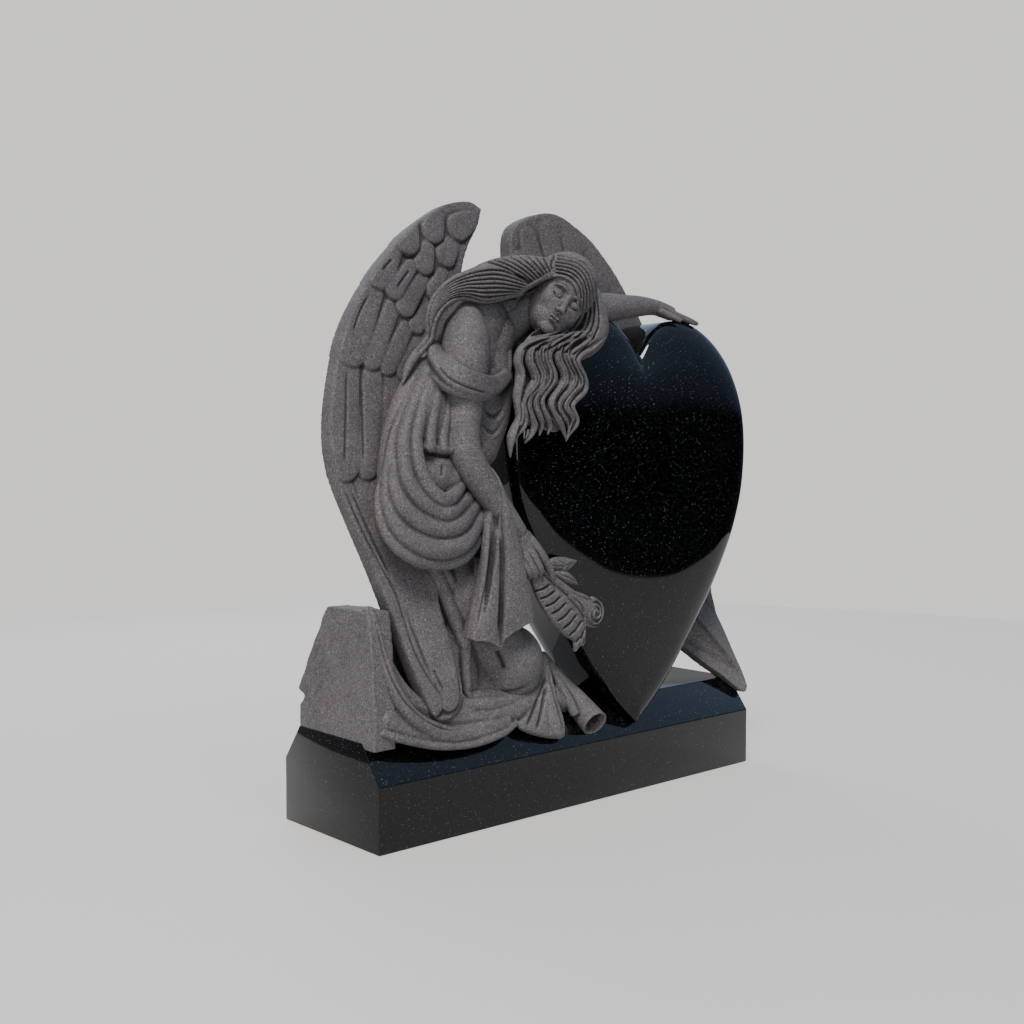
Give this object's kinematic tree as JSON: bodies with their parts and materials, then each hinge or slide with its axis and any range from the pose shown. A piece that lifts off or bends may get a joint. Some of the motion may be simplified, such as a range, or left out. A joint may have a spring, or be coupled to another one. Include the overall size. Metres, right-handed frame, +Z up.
{
  "type": "heart headstone",
  "caption": "Memorial stone: a kneeling winged angel holding a rose leans on a large polished heart, carved as one block and set on a bevelled plinth.",
  "frame": {"origin": "centre of the plinth's underside", "axes": "+X along the plinth towards the heart's side, +Y towards the back, +Z up; the carved front faces -Y"},
  "size_m": [1.0677, 0.3695, 1.1753],
  "materials": {
    "polished_black_granite": "polished",
    "carved_dark_granite": "matte"
  },
  "bodies": {
    "root": {"base": "polished_black_granite", "carved_angel_and_heart": "carved_dark_granite"}
  },
  "joints": []
}
